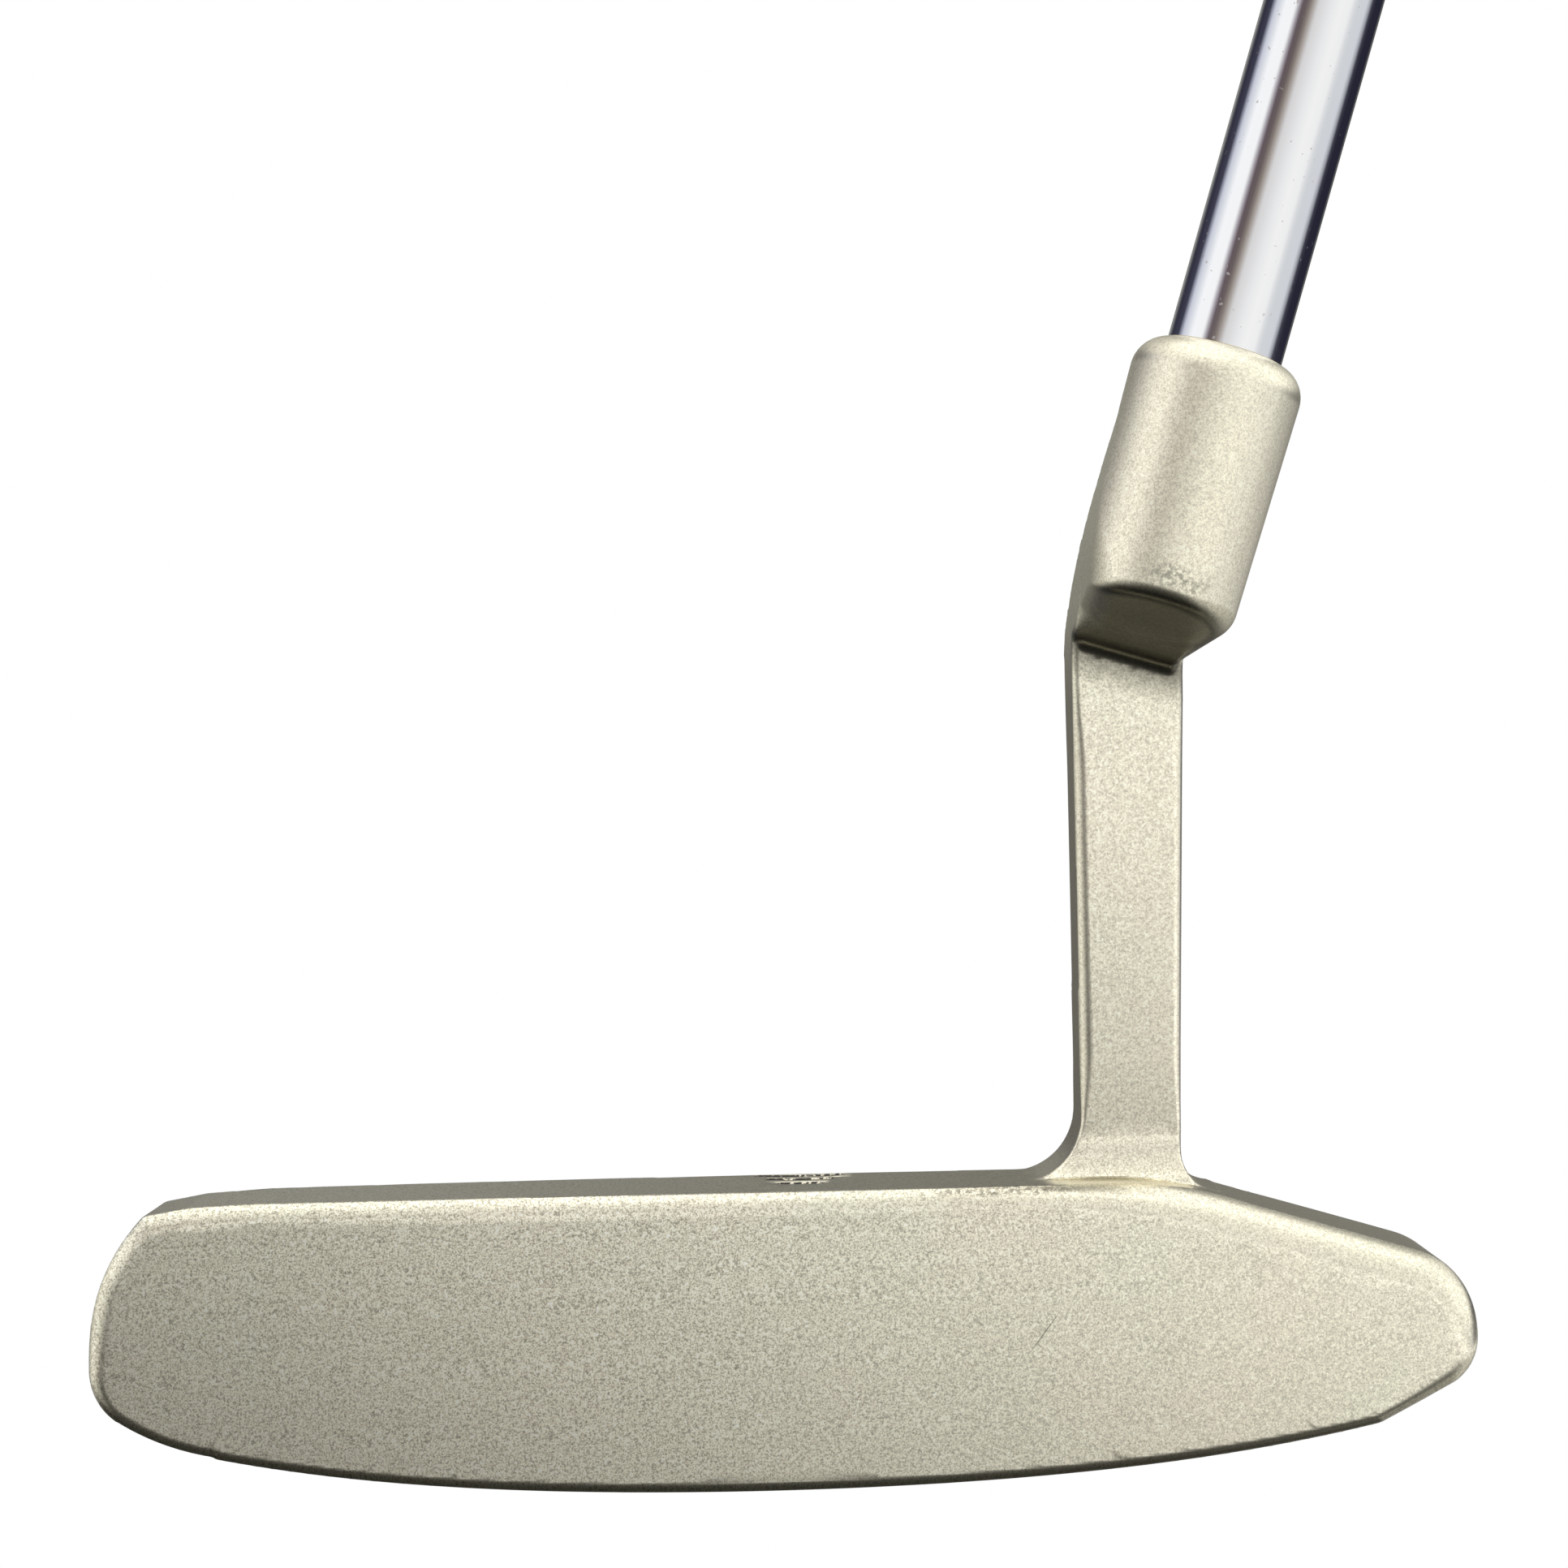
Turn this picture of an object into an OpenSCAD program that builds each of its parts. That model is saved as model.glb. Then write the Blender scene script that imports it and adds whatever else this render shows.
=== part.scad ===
// Blade putter: a cast head with a plumber's neck, a stepped steel shaft and a moulded rubber grip.
// The club stands as it is soled at address. The origin is the lowest point of the sole, on the
// ground. +Z is up, +X runs from toe to heel, and the face looks along -Y.

/* [Blade] */
// Height of the sole's curve: the radius of its middle stretch
sole_r = 410; // [300:10:600]
// Distance from the middle at which the sole's curve has doubled its rise
sole_k = 77; // [65:1:95]
// The same distance on the toe's half of the sole, which curves up sooner
sole_toe_k = 70; // [60:1:95]
// Height of the top line near the toe
top_line_h = 24.7; // [24:0.05:25.5]
// Radius of the rounded edge around the face
edge_r = 1.5; // [1:0.1:2.2]
// Backward lean of the face, in degrees
face_loft = 3; // [1:0.5:4]
// Depth of the flat deck on top of the blade, from face to back
deck_d = 15; // [14:0.5:16]
// Depth of the blade at sole level
sole_d = 21.5; // [20:0.5:24]
// How much shallower the deck is at its ends than in its middle
plan_drop = 2.6; // [1:0.1:3.5]
// Width of the cavity in the back
cavity_w = 64; // [50:1:70]
// Thickness of metal between the face and the cavity
cavity_y = 9.5; // [8.5:0.5:11]

/* [Sight lines] */
// Width of each sight line
sight_w = 0.9; // [0.6:0.1:1.2]
// Depth of the grooves in the deck
sight_groove = 0.6; // [0.4:0.1:0.8]
// Thickness of paint in the grooves
sight_paint = 0.25; // [0.1:0.05:0.3]
// Radius to which the sight lines are bowed
sight_r = 9; // [7:0.5:15]

/* [Neck] */
// Width of the neck's front where it leaves the blade
neck_w = 8.3; // [7.8:0.1:8.7]
// Width of the neck's front at its top
neck_top_w = 9.3; // [8.8:0.1:9.5]
// Thickness of the neck from front to back
neck_t = 8.4; // [8:0.1:9]
// Distance of the neck's front behind the face
neck_y = 6.5; // [6:0.1:7]
// Position of the neck's toe side along the blade, at the neck's top
neck_x = 24.45; // [20:0.05:25]
// Radius of the flare on the toe side of the neck
neck_flare_toe = 5.5; // [4:0.5:6]
// Radius of the flare on the heel side of the neck
neck_flare_heel = 3.2; // [2.5:0.1:4]
// Radius of the sweep in front of the neck's foot
neck_flare_front = 8.3; // [4:0.1:10]
// How far that sweep turns before it meets the deck, in degrees
neck_sweep_a = 36; // [25:1:60]

/* [Hosel] */
// Lie: angle between the shaft and the ground, in degrees
lie = 72.5; // [71.5:0.5:73.5]
// Distance of the shaft's axis ahead of the face
offset_y = 5; // [4.5:0.1:5.5]
// Where the shaft's axis meets the ground, measured from the sole's lowest point
axis_x = 7.56; // [7:0.01:8.5]
// Diameter of the hosel at its mouth
hosel_d = 14.1; // [13.4:0.1:14.6]
// Diameter of the hosel at its lower end
hosel_low_d = 13.3; // [12.8:0.1:13.6]
// Length of the hosel along the shaft
hosel_l = 22.4; // [20:0.1:25]
// Radius of the shoulder around the hosel's mouth
shoulder_r = 2; // [1:0.1:2.2]
// Thickness of the glue around the shaft's tip
glue_t = 0.1; // [0.05:0.05:0.2]

/* [Shaft] */
// Length of the club along the shaft, from the ground to the butt
club_l = 889; // [840:1:915]
// Diameter of the shaft's tip
tip_d = 9.4; // [9.2:0.1:9.6]
// Diameter of the shaft's butt
butt_d = 14.7; // [14:0.1:15.2]
// Distance along the shaft from the ground to the first step
first_step_u = 262; // [240:1:280]
// Distance between steps
step_pitch = 34; // [30:1:35]
// Number of steps
steps = 10; // [8:1:10]
// Wall thickness of the shaft
wall = 0.55; // [0.45:0.05:0.8]

/* [Grip] */
// Length of the grip with its cap
grip_l = 267; // [250:1:275]
// Thickness of the tape under the grip
tape_t = 0.25; // [0.2:0.05:0.4]
// Half width of the grip at its mouth
mouth_half_w = 9.6; // [9.4:0.1:10]
// Half width of the grip at the butt
butt_half_w = 12.6; // [12:0.1:13]
// How far the pistol bulge reaches behind the shaft's axis
pistol_back = 19.5; // [17:0.5:21]
// Thickness of the butt cap
cap_t = 4; // [3:0.5:5]
// Radius of the vent hole in the butt cap
vent_r = 1.5; // [1:0.1:2]

/* [Hidden] */
$fn = 96;
thin = 0.01;
lean = 90 - lie;

// Blade: corner circles of the front outline, and the top line's run to the heel
face_mid_z = 12;
toe_sole = [-44.6, 25.7];
toe_sole_r = 22;
toe_low = [-53.45, 11.5];
toe_low_r = 5.3;
toe_side_r = 16.6;
toe_side = [toe_low[0] - toe_low_r + toe_side_r, 12.2];
toe_top_a = 135;
heel_low = [51.4, 11.2];
heel_low_r = 4.6;
heel_high = [49.4, 11.65];
heel_high_r = 6.6;
top_bend_x = 25.7;
top_bend_r = 35;
top_bend_a = 16.3;
top_fall = 0.45;
back_edge_r = 1.2;
plan_half_l = 60;
back_full_y = 8;
sole_scale = 0.88;
sole_mid_x = -1.5;
sole_band_h = 9;
sole_camber = 1.2;
cavity_z = 6.5;
cavity_h = 11;
cavity_r = 3.5;

// Sight lines: distance of each bow from the face, and its length
sight_x = 0.3;
sight_y = [12.5, 10, 7.1];
sight_len = [7.5, 5.7, 3.7];
sight_floor_z = top_line_h - 0.3 - sight_groove;

// Neck and bridge
neck_draft = 0.3;
heel_deck_fall = 1.2;
neck_foot_z = 19;
neck_flare_z = top_line_h - 0.6;
neck_top_z = 68;
bridge_foot_z = 67.2;
bridge_top_z = 71.5;
underside_tilt = 14;
hosel_low_z = 70.57;
hosel_low_u = hosel_low_z / cos(lean);
hosel_mouth_u = hosel_low_u + hosel_l;
bridge_u = 11;

// Shaft and what is inside it, by distance u up the shaft's axis from the ground
bore_r = tip_d / 2 + glue_t;
bore_u = hosel_low_u + 3.2;
tip_u = bore_u + 0.3;
plug_l = 12;
step_taper = 1.2;
step_dr = (butt_d - tip_d) / 2 / steps;
shaft_top_u = club_l - cap_t;
mouth_u = club_l - grip_l;
tape_u = mouth_u + 3;
tape_r = butt_d / 2 + tape_t;

// Grip: rings of a swept section
grip_rings = 26;
grip_sides = 44;
mouth_depth = 9.4;
front_depth = 10.6;
front_power = 3.4;

steel = [0.84, 0.81, 0.72];
rubber = [0.09, 0.09, 0.095];

function arc(c, r, a0, a1, n) =
    [for (i = [0:n]) let (a = a0 + (a1 - a0) * i / n) [c[0] + r * cos(a), c[1] + r * sin(a)]];
function sole_z(x) =
    let (d = x - sole_mid_x, k = d < 0 ? sole_toe_k : sole_k) d * d / (2 * sole_r) * (1 + pow(d / k, 2));
function ease(t) = let (s = max(0, min(1, t))) s * s * (3 - 2 * s);

// Places its children on the shaft's axis, u up from the ground
module on_axis(u = 0) {
    translate([axis_x, -offset_y, 0]) rotate([0, lean, 0]) translate([0, 0, u]) children();
}

// Outline of the blade seen along +Y: x is x, and y is height
module blade_outline() {
    sole_span = 96;
    sole_heel_x = 47.5;
    polygon(concat(
        [for (i = [0:24]) let (x = sole_heel_x - sole_span * i / 24) [x, sole_z(x)]],
        arc(toe_sole, toe_sole_r, 260, 238, 4),
        arc(toe_low, toe_low_r, 236, 180, 6),
        arc(toe_side, toe_side_r, 180, toe_top_a, 8),
        [[-50.3, top_line_h - 0.2], [-45, top_line_h]],
        arc([top_bend_x, top_line_h - top_fall - top_bend_r], top_bend_r, 90, 90 - top_bend_a, 5),
        arc(heel_high, heel_high_r, 90 - top_bend_a, 0, 8),
        arc(heel_low, heel_low_r, 0, -60, 6)
    ));
}

// A thin upright slice of the blade's outline at depth y, cut off at half_l on each side
module blade_slice(y, inset = 0, half_l = 100) {
    translate([0, y + thin, 0]) rotate([90, 0, 0]) linear_extrude(thin) offset(delta = -inset)
        intersection() {
            blade_outline();
            translate([-half_l, -1]) square([2 * half_l, 100]);
        }
}

// The lower band of the outline, lifted by the sole's camber
module sole_slice(y, inset, rise) {
    translate([0, y + thin, rise]) rotate([90, 0, 0]) linear_extrude(thin)
        offset(delta = -inset) intersection() {
            scale([sole_scale, 1]) blade_outline();
            translate([-100, 0]) square([200, sole_band_h]);
        }
}

module blade() {
    hull() {
        translate([0, 0, face_mid_z]) rotate([-face_loft, 0, 0]) translate([0, 0, -face_mid_z])
            for (a = [0:15:90]) blade_slice(edge_r * (1 - cos(a)), edge_r * (1 - sin(a)));
        blade_slice(back_full_y);
        for (t = [0.45, 0.7, 0.88, 1], a = [0:30:90])
            blade_slice(deck_d - plan_drop * t * t - back_edge_r * (1 - cos(a)),
                back_edge_r * (1 - sin(a)), plan_half_l * t);
        sole_slice(sole_d - 2, 0, sole_camber / 2);
        sole_slice(sole_d - 0.6, 0.6, sole_camber);
        sole_slice(sole_d, 1.6, sole_camber);
    }
}

module rounded_rect(w, h, r) {
    polygon(concat(arc([w - r, h - r], r, 0, 90, 6), arc([r, h - r], r, 90, 180, 6),
        arc([r, r], r, 180, 270, 6), arc([w - r, r], r, 270, 360, 6)));
}

// A bowed bar on the deck: its middle is nearer the face than its ends
module sight_bar(i, h) {
    half_a = asin(sight_len[i] / 2 / sight_r);
    translate([sight_x, sight_y[i] + sight_r, sight_floor_z]) rotate([0, 0, 270 - half_a])
        rotate_extrude(angle = 2 * half_a) translate([sight_r - sight_w / 2, 0]) square([sight_w, h]);
}

// The neck's post, flared where it meets the deck
module neck() {
    foot_x = neck_x - neck_draft;
    heel_x = foot_x + neck_w;
    intersection() {
        translate([0, 40, 0]) rotate([90, 0, 0]) linear_extrude(60) polygon(concat(
            [[foot_x - neck_flare_toe - 2, neck_foot_z], [foot_x - neck_flare_toe - 2, neck_flare_z]],
            arc([foot_x - neck_flare_toe, neck_flare_z + neck_flare_toe], neck_flare_toe, 270, 360, 10),
            [[neck_x, neck_top_z], [neck_x + neck_top_w, neck_top_z]],
            arc([heel_x + neck_flare_heel, neck_flare_z - heel_deck_fall + neck_flare_heel],
                neck_flare_heel, 180, 270, 8),
            [[heel_x + neck_flare_heel, neck_foot_z]]));
        rotate([90, 0, 90]) linear_extrude(80) polygon(concat(
            [[neck_y + neck_t, neck_foot_z], [neck_y + neck_t, neck_top_z], [neck_y, neck_top_z]],
            arc([neck_y - neck_flare_front, neck_flare_z + neck_flare_front * sin(neck_sweep_a)],
                neck_flare_front, 0, -neck_sweep_a, 8),
            [[neck_y - neck_flare_front * (1 - cos(neck_sweep_a)), neck_foot_z]]));
    }
}

// The bend from the neck's top forward to the hosel, cut by the hosel's slanted underside
module bridge() {
    difference() {
        hull() {
            translate([neck_x, neck_y, bridge_foot_z])
                cube([neck_top_w, neck_t, neck_top_z - bridge_foot_z]);
            translate([neck_x + 0.8, neck_y, neck_top_z])
                cube([neck_top_w - 0.8, neck_t - 0.8, bridge_top_z - neck_top_z]);
            on_axis(hosel_low_u - 3)
                cylinder(h = bridge_u + 3, d1 = hosel_low_d - 0.1, d2 = hosel_low_d, $fn = 32);
        }
        under_hosel();
    }
}

// Everything below the hosel's slanted underside, in front of the neck
module under_hosel() {
    intersection() {
        on_axis(hosel_low_u) rotate([-underside_tilt, 0, 0])
            translate([-40, -40, -60]) cube([80, 80, 60]);
        translate([-40, neck_y - 60, 0]) cube([120, 60, 120]);
    }
}

module hosel() {
    difference() {
        on_axis() rotate_extrude() polygon(concat(
            [[0, hosel_low_u - 3], [hosel_low_d / 2, hosel_low_u - 3]],
            arc([hosel_d / 2 - shoulder_r, hosel_mouth_u - shoulder_r], shoulder_r, 0, 90, 6),
            [[0, hosel_mouth_u]]));
        under_hosel();
    }
}

module putter_head() {
    color(steel) difference() {
        union() {
            difference() {
                blade();
                translate([-cavity_w / 2 - 2, 40, cavity_z]) rotate([90, 0, 0])
                    linear_extrude(40 - cavity_y) rounded_rect(cavity_w, cavity_h, cavity_r);
                for (i = [0:2]) sight_bar(i, 2);
            }
            neck();
            bridge();
            hosel();
        }
        on_axis(bore_u) cylinder(h = hosel_l, r = bore_r);
    }
}

module sight_line_paint(i) {
    color([0.12, 0.1, 0.09]) sight_bar(i, sight_paint);
}

// Glue between the shaft's tip and the hosel's bore, and under the tip
module hosel_glue() {
    glue_top_u = hosel_mouth_u - 0.2;
    color([0.75, 0.68, 0.5]) difference() {
        on_axis(bore_u) cylinder(h = glue_top_u - bore_u, r = bore_r);
        on_axis(tip_u) cylinder(h = hosel_l, d = tip_d);
    }
}

module tip_plug() {
    color([0.85, 0.85, 0.8]) on_axis(tip_u) cylinder(h = plug_l, d = tip_d - 2 * wall);
}

module shaft() {
    color([0.9, 0.91, 0.93]) on_axis() rotate_extrude() polygon(concat(
        [[tip_d / 2, tip_u]],
        [for (i = [0:steps - 1], up = [0, 1])
            [tip_d / 2 + step_dr * (i + up), first_step_u + step_pitch * i + step_taper * up]],
        [[butt_d / 2, shaft_top_u], [butt_d / 2 - wall, shaft_top_u]],
        [for (i = [steps - 1:-1:0], up = [1, 0])
            [tip_d / 2 - wall + step_dr * (i + up), first_step_u + step_pitch * i + step_taper * up]],
        [[tip_d / 2 - wall, tip_u]]));
}

module grip_tape() {
    color([0.93, 0.9, 0.8]) on_axis(tape_u) difference() {
        cylinder(h = shaft_top_u - tape_u, r = tape_r);
        translate([0, 0, -1]) cylinder(h = grip_l, d = butt_d);
    }
}

// Section of the grip at t, which is 0 at the mouth and 1 at the butt. Local -x is the flat for
// the thumbs, and local +x is the underside with the pistol bulge.
function half_w(t) = mouth_half_w + (butt_half_w - mouth_half_w) * ease(t * 1.15);
function front_x(t) = mouth_depth + (front_depth - mouth_depth) * t;
function back_x(t) = mouth_depth + 2.6 * ease(t * 1.4) + (pistol_back - mouth_depth - 2.6) * ease((t - 0.62) / 0.3);
function signed_pow(v, p) = sign(v) * pow(abs(v), p);
function grip_point(t, a, s) = let (p = cos(a) < 0 ? 2 / front_power : 1) [
    s * (cos(a) < 0 ? front_x(t) : back_x(t)) * signed_pow(cos(a), p),
    s * half_w(t) * signed_pow(sin(a), cos(a) < 0 ? 2 / front_power : 1)];

// Sweeps the section through rows of [u, t, scale]
module grip_sweep(rows) {
    n = len(rows);
    polyhedron(
        points = [for (row = rows, j = [0:grip_sides - 1])
            let (p = grip_point(row[1], 360 * j / grip_sides, row[2])) [p[0], p[1], row[0]]],
        faces = concat(
            [[for (j = [0:grip_sides - 1]) j]],
            [for (i = [0:n - 2], j = [0:grip_sides - 1], half = [0, 1])
                let (a = i * grip_sides + j, b = i * grip_sides + (j + 1) % grip_sides)
                half == 0 ? [a, a + grip_sides, b] : [b, a + grip_sides, b + grip_sides]],
            [[for (j = [grip_sides - 1:-1:0]) (n - 1) * grip_sides + j]]));
}

module grip_sleeve() {
    color(rubber) on_axis() difference() {
        grip_sweep([for (i = [0:grip_rings]) let (t = i / grip_rings)
            [mouth_u + t * (shaft_top_u - mouth_u), t, i == 0 ? 0.93 : 1]]);
        translate([0, 0, mouth_u - 1]) cylinder(h = grip_l, d = butt_d);
        translate([0, 0, tape_u]) cylinder(h = grip_l, r = tape_r);
    }
}

module grip_butt_cap() {
    color(rubber * 0.7) on_axis() difference() {
        grip_sweep([[shaft_top_u, 1, 1], [club_l - 1.4, 1, 1], [club_l - 0.4, 1, 0.965], [club_l, 1, 0.9]]);
        translate([0, 0, shaft_top_u - 1]) cylinder(h = cap_t + 2, r = vent_r);
    }
}

putter_head();
sight_line_paint(0);  // rear_sight_line_paint
sight_line_paint(1);  // middle_sight_line_paint
sight_line_paint(2);  // front_sight_line_paint
hosel_glue();
tip_plug();
shaft();
grip_tape();
grip_sleeve();
grip_butt_cap();
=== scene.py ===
"""Looks of the blade putter: smooth cast head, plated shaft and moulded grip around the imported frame."""
import math

import bmesh
import bpy
import numpy as np
import openvdb
from mathutils import Matrix, Vector


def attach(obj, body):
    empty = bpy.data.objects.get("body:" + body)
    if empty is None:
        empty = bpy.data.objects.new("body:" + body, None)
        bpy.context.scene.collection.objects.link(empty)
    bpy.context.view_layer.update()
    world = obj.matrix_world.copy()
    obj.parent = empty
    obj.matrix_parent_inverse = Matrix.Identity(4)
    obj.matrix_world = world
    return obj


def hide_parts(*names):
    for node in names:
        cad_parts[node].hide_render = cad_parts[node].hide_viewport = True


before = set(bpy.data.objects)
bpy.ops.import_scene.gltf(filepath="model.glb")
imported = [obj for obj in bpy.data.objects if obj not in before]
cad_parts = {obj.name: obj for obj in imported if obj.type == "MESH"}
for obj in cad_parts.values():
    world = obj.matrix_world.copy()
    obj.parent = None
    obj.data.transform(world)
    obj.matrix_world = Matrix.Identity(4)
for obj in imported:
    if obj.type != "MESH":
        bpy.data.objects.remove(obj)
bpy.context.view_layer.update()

MM = 0.001
VOXEL, QUICK_VOXEL, ADAPT = 0.25, 0.7, 0.001

# ---------------------------------------------------------------- dimensions, in millimetres
# Blade outline: corner circles as centre x, centre z and radius, and the top line's bend to the heel
SOLE_R, SOLE_TOE_K, SOLE_HEEL_K, SOLE_MID_X = 410, 70, 77, -1.5
SOLE_HEEL_X, SOLE_TOE_X = 47.5, -48.5
TOE_SOLE, TOE_LOW, TOE_SIDE = (-44.6, 25.7, 22), (-53.45, 11.5, 5.3), (-42.15, 12.2, 16.6)
HEEL_HIGH, HEEL_LOW = (49.4, 11.65, 6.6), (51.4, 11.2, 4.6)
TOP_LINE_H, TOP_BEND_X, TOP_BEND_R, TOP_BEND_END, TOP_FALL = 24.7, 25.7, 35, 73.7, 0.45
TOP_TOE_X, TOE_CORNER_X, TOE_CORNER_DROP = -45, -50.3, 0.2

# Face and its edge, which grows rounder upwards and towards the heel, and meets the deck at a ridge
LOFT = math.radians(3)
FACE_MID_Z = 12
EDGE_LOW_R, EDGE_TOP_R, HEEL_EDGE_MORE, RIDGE = 0.9, 2.1, 1.1, 0.5

# Deck, back and sole
DECK_D, PLAN_DROP, PLAN_HALF_L = 15, 2.6, 60
END_HALF_L, END_DROP, BACK_END_DROP = 58, 1.5, 8
SOLE_D, SOLE_CAMBER, CAMBER_FROM, CAMBER_RUN = 21.5, 1.2, 9, 12
DECK_EDGE_R, BACK_EDGE_R = 0.7, 2.2
# The back slopes out to the sole's depth over this height, from this far under the top line
BACK_SLOPE_H, BACK_TOP_DROP = 15, 1.1
CAVITY_Y, CAVITY_HALF_W, CAVITY_X = 9.5, 32, -2
CAVITY_Z0, CAVITY_Z1, CAVITY_R = 6.5, 17.5, 3.5
CAVITY_DRAFT, CAVITY_FLOOR_R, CAVITY_MOUTH_R = 0.09, 1.6, 0.5

# Sight lines: radius of their bow, width and depth, then each one's middle and length, rear to front
SIGHT_X, SIGHT_R, SIGHT_W, SIGHT_DEPTH = 0.4, 9, 1.4, 0.6
SIGHT_Y = (12.5, 10, 7.1)
SIGHT_LEN = (7.5, 5.7, 3.7)
SIGHT_FLOOR_Z = TOP_LINE_H - 0.3 - SIGHT_DEPTH

# Neck: its post, the flares at its foot, and the bend of its sides to the shaft's lean
NECK_FOOT_X, NECK_TOP_X = 24.15, 24.45
NECK_FOOT_W, NECK_TOP_W = 8.3, 9.3
NECK_Y, NECK_T, NECK_FOOT_Z = 6.5, 8.4, 19
NECK_EDGE_R, NECK_EDGE_MORE, NECK_TOE_EDGE_MORE = 0.3, 0.4, 0.4
FLARE_TOE, FLARE_HEEL, FLARE_FRONT, SWEEP = 5.5, 3.2, 6.4, math.radians(36)
FLARE_Z, HEEL_DECK_FALL = TOP_LINE_H - 0.6, 1.2
BEND_Z, BEND_R = 66, 66
HEEL_BEND_Z, HEEL_BEND_R = 64, 60
SIDES_TOP_Z, TOE_SIDE_TOP_SLOPE = 110, 0.25

# Hosel, and the bridge to it from the neck's top
LEAN = math.radians(17.5)
AXIS_X, AXIS_Y = 7.56, -5
HOSEL_LOW_Z = 70.4
HOSEL_LOW_U = HOSEL_LOW_Z / math.cos(LEAN)
HOSEL_L, HOSEL_LOW_R, HOSEL_TOP_R, SHOULDER_R = 22.4, 6.65, 7.05, 2.8
RIM_R, BRIDGE_L = 1.0, 14
BRIDGE_EDGE_R, BRIDGE_FILLET, SECTION_EASE = 1, 1.2, 0.6
# The bridge's sloping back, as two points (y, z)
SLOPE_LOW, SLOPE_HIGH = (14.4, 70.8), (1.9, 81.5)
UNDERSIDE_TILT = math.radians(11.5)
FOOT_FILLET, CORNER_FILLET, CORNER_MORE, TOE_SIDE_R = 0.2, 0.3, 0.7, 2.6
BORE_R = 4.8
BORE_U = HOSEL_LOW_U + 3.2

# Shaft and grip, by distance u up the shaft from the ground
CLUB_L, TIP_R, BUTT_R = 889, 4.7, 7.35
TIP_U = BORE_U + 0.3
FIRST_STEP_U, STEP_PITCH, STEPS, STEP_TAPER = 262, 34, 10, 1.2
WALL = 0.55
CAP_T, VENT_R = 4, 1.5
SHAFT_TOP_U = CLUB_L - CAP_T
MOUTH_U = CLUB_L - 267
TAPE_U, TAPE_R = MOUTH_U + 3, BUTT_R + 0.25

# Grip section: half widths, then how far it reaches to its flat front and to its pistol-shaped back
MOUTH_HALF_W, BUTT_HALF_W, FRONT_POWER = 9.6, 12.6, 3.4
MOUTH_DEPTH, FRONT_DEPTH, BACK_MORE, PISTOL_BACK = 9.4, 10.6, 2.6, 19.5
PISTOL_FROM, PISTOL_TO = 0.62, 0.92

# Moulded pattern: slanting ribs on the front, a weave on the back and sides, and rings at the mouth.
# A gap is the length left plain at an end.
FRONT_X, FRONT_EASE, PANEL_GAP, PANEL_HALF_W = 6.4, 1.2, 22, 6.2
RIB_PITCH, RIB_SLANT, PANEL_DEPTH, RIB_DEPTH = 3.6, 0.9, 0.22, 0.28
WEAVE_MOUTH_GAP, WEAVE_BUTT_GAP, WEAVE_DEPTH = 16, 12, 0.42
WEAVE_PITCH, WEAVE_STRETCH, WEAVE_R = 5.2, 0.8, 11
RING_PLACES, RING_HALF_W, RING_DEPTH = (7, 10), 0.45, 0.4
LIP_L, LIP_DEPTH = 1.4, 0.8

# From the shaft's own axes (z up the shaft, x towards the underside of the grip) to the frame
SHAFT_AXES = Matrix.Translation(Vector((AXIS_X, AXIS_Y, 0)) * MM) @ Matrix.Rotation(LEAN, 4, "Y")


# ---------------------------------------------------------------- mesh helpers
def new_object(name, points, faces, to_frame=None):
    """Makes a smooth-shaded mesh object from points in millimetres."""
    mesh = bpy.data.meshes.new(name)
    mesh.from_pydata([tuple(p) for p in (np.asarray(points, float) * MM)], [], faces)
    if to_frame:
        mesh.transform(to_frame)
    work = bmesh.new()
    work.from_mesh(mesh)
    bmesh.ops.recalc_face_normals(work, faces=work.faces)
    work.to_mesh(mesh)
    work.free()
    mesh.shade_smooth()
    obj = bpy.data.objects.new(name, mesh)
    bpy.context.scene.collection.objects.link(obj)
    return obj


def grid_faces(rows, columns, closed_rows=False):
    """Quads of a grid of rows x columns points, closed along each row."""
    faces = []
    for i in range(rows if closed_rows else rows - 1):
        for j in range(columns):
            a, b = i * columns + j, i * columns + (j + 1) % columns
            c, d = (i + 1) % rows * columns + j, (i + 1) % rows * columns + (j + 1) % columns
            faces.append((a, b, d, c))
    return faces


def lathe(name, profile, segments, to_frame):
    """Turns a closed profile of (radius, height) points round z."""
    angles = np.linspace(0, 2 * math.pi, segments, endpoint=False)
    points = [(r * math.cos(a), r * math.sin(a), z) for r, z in profile for a in angles]
    return new_object(name, points, grid_faces(len(profile), segments, True), to_frame)


def cut(obj, cutter):
    """Cuts one closed mesh out of another, and deletes the cutter."""
    modifier = obj.modifiers.new("cut", "BOOLEAN")
    modifier.operation = "DIFFERENCE"
    modifier.solver = "MANIFOLD"
    modifier.object = cutter
    graph = bpy.context.evaluated_depsgraph_get()
    mesh = bpy.data.meshes.new_from_object(obj.evaluated_get(graph))
    obj.modifiers.clear()
    obj.data = mesh
    bpy.data.objects.remove(cutter)


def arc(cx, cy, r, start, end, n):
    """Points of an arc, with its angles in degrees."""
    return [(cx + r * math.cos(math.radians(a)), cy + r * math.sin(math.radians(a)))
            for a in np.linspace(start, end, n + 1)]


# ---------------------------------------------------------------- distance fields
def eased(t):
    """0 to 1 as t goes from 0 to 1, level at both ends."""
    t = np.clip(t, 0, 1)
    return t * t * (3 - 2 * t)


def rise(value, low, high):
    """0 below low and 1 above high, eased between them."""
    return eased((value - low) / (high - low))


def fall(value, low, high):
    """1 below low and 0 above high, eased between them."""
    return eased((high - value) / (high - low))


def rounded_and(a, b, r):
    """Common part of two solids, with radius r on the edge between them."""
    return np.minimum(-r, np.maximum(a, b)) + np.hypot(np.maximum(a + r, 0), np.maximum(b + r, 0))


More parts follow.
